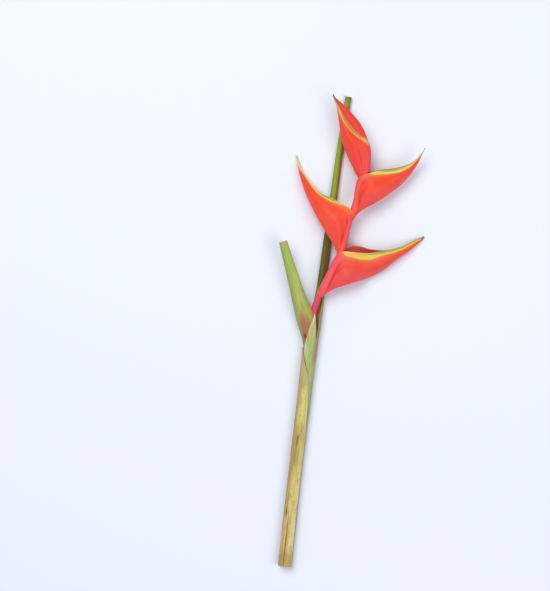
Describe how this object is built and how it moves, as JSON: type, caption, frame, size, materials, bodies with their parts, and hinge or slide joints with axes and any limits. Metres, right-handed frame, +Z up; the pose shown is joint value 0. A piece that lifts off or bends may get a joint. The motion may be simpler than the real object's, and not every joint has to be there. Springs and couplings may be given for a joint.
{
  "type": "lobster claw heliconia",
  "caption": "Cut lobster claw heliconia lying on a surface: a rolled-leaf stem, cut leaf stalks and a zigzag head of boat-shaped red bracts with yellow-green edges.",
  "frame": {"origin": "middle of the footprint, on the surface that the flower lies on", "axes": "+Z up from the surface; +Y along the stem, from its cut end towards the flower; +X towards the side of the lowest bract"},
  "size_m": [0.2162, 0.7132, 0.0441],
  "materials": {
    "old_sheath": "fresh leaf sheath, yellow green with tan and brown marks, satin",
    "long_leaf": "fresh leaf sheath and stalk, olive to yellow green, waxy satin",
    "short_leaf": "fresh leaf stalk, bright green, pinkish at its base, waxy satin",
    "flower_stalk": "fresh flower stalk, pink red, satin",
    "bract": "waxy bract, orange red to crimson, with a yellow and green edge, satin",
    "flower": "young flowers, pale yellow green, satin"
  },
  "bodies": {
    "root": {"old_sheath": "old_sheath", "long_leaf": "long_leaf", "short_leaf": "short_leaf", "flower_stalk": "flower_stalk", "bract_1": "bract", "bract_2": "bract", "bract_3": "bract", "bract_4": "bract", "bract_5": "bract", "flowers_1": "flower", "flowers_2": "flower", "flowers_3": "flower"}
  },
  "joints": []
}
